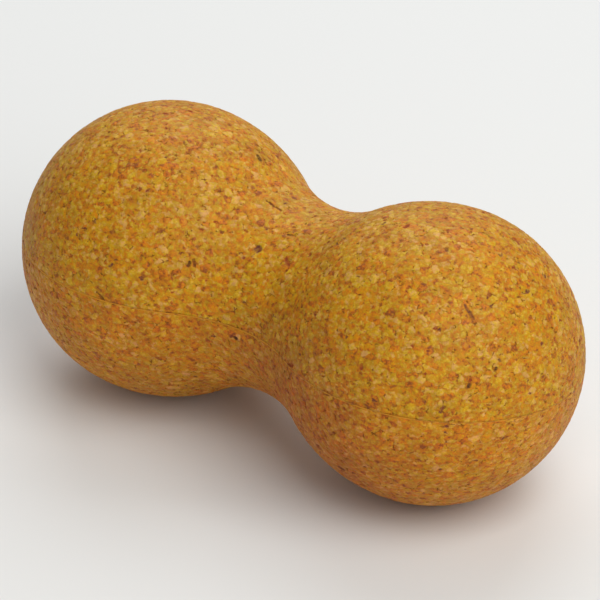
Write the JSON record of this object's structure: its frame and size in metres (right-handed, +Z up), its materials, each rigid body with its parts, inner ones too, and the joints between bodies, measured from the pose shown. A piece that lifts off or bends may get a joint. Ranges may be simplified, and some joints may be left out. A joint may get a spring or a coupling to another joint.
{
  "type": "massage ball",
  "caption": "Double-lobed massage ball of agglomerated cork: two equal balls joined by a smooth waist, for rolling along the spine, calves and feet.",
  "frame": {"origin": "the ball's centre, on its long axis at the middle of the waist, 38 mm above the floor that it lies on", "axes": "+X along the long axis through both lobes, +Z up, +Y horizontal across the ball"},
  "size_m": [0.16, 0.076, 0.076],
  "materials": {
    "cork": "agglomerated cork, turned and sanded, matt",
    "adhesive": null
  },
  "bodies": {
    "root": {"cork_half_upper": "cork", "cork_half_lower": "cork", "glue_line": "adhesive"}
  },
  "joints": []
}
